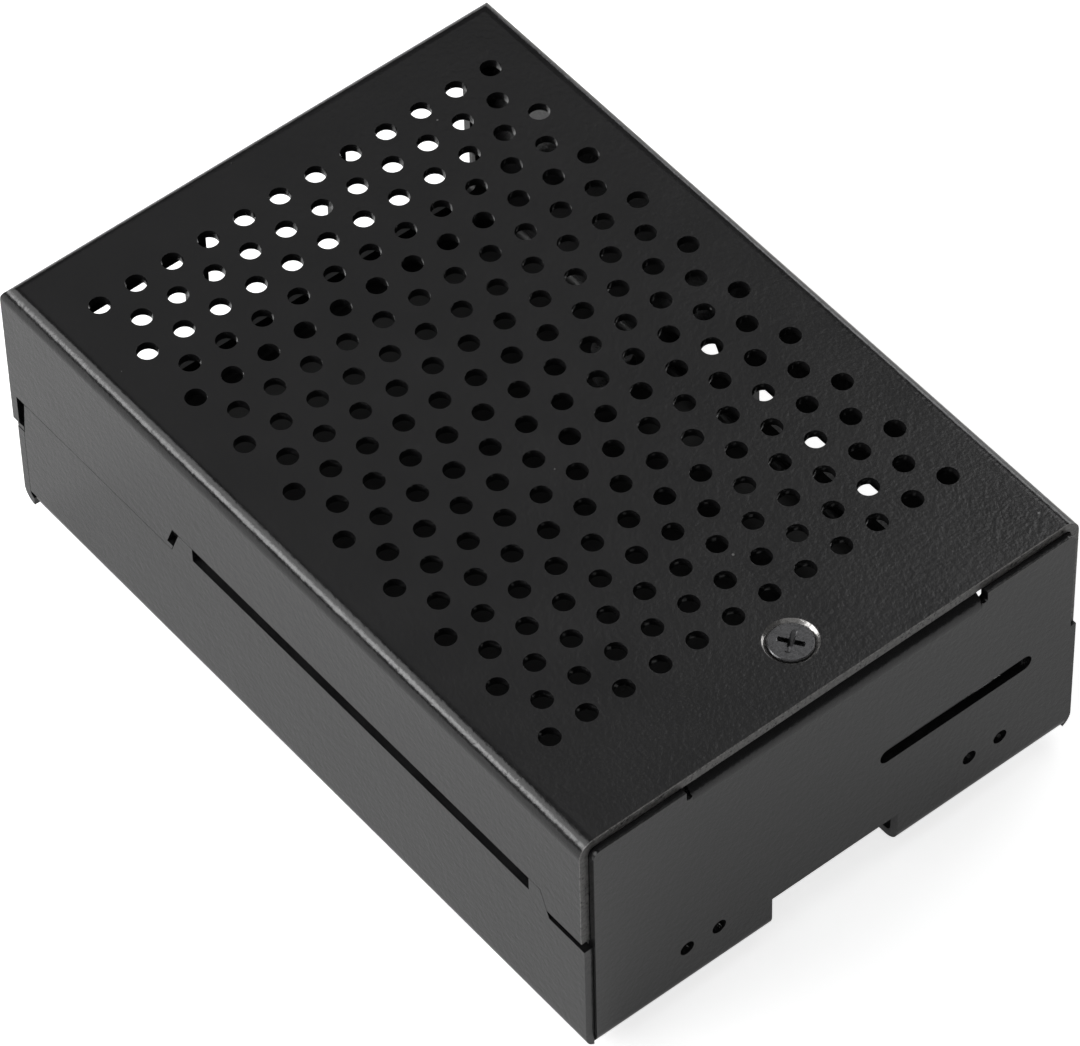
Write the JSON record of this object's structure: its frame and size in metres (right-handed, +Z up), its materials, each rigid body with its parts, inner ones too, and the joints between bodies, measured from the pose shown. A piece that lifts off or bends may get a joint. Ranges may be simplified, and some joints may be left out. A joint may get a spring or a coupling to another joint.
{
  "type": "single board computer case",
  "caption": "Black folded sheet metal case for a credit-card-size single board computer, with a vented lift-off cover, a countersunk cover screw, port openings and threaded board standoffs.",
  "frame": {"origin": "below the middle of the case, on the surface that the feet stand on", "axes": "+X along the case to the memory card end, +Y to the side of the power and video ports, +Z up"},
  "size_m": [0.0912, 0.062, 0.0336],
  "materials": {
    "powder_coat": "satin black powder coat",
    "dark_zinc": "dull zinc",
    "bright_zinc": "bright zinc",
    "rubber": "matt"
  },
  "bodies": {
    "base": {"base_tray": "powder_coat", "cover_clinch_nut": "bright_zinc", "board_standoff_front_left": "bright_zinc", "board_standoff_front_right": "bright_zinc", "board_standoff_rear_left": "bright_zinc", "board_standoff_rear_right": "bright_zinc", "rubber_foot_front_left": "rubber", "rubber_foot_front_right": "rubber", "rubber_foot_rear_left": "rubber", "rubber_foot_rear_right": "rubber"},
    "cover": {"top_cover": "powder_coat", "cover_screw": "dark_zinc"}
  },
  "joints": [
    {"name": "cover_lift", "type": "slide", "parent": "base", "child": "cover", "axis": [0, 0, 1], "range_m": [0, 0.04]}
  ]
}
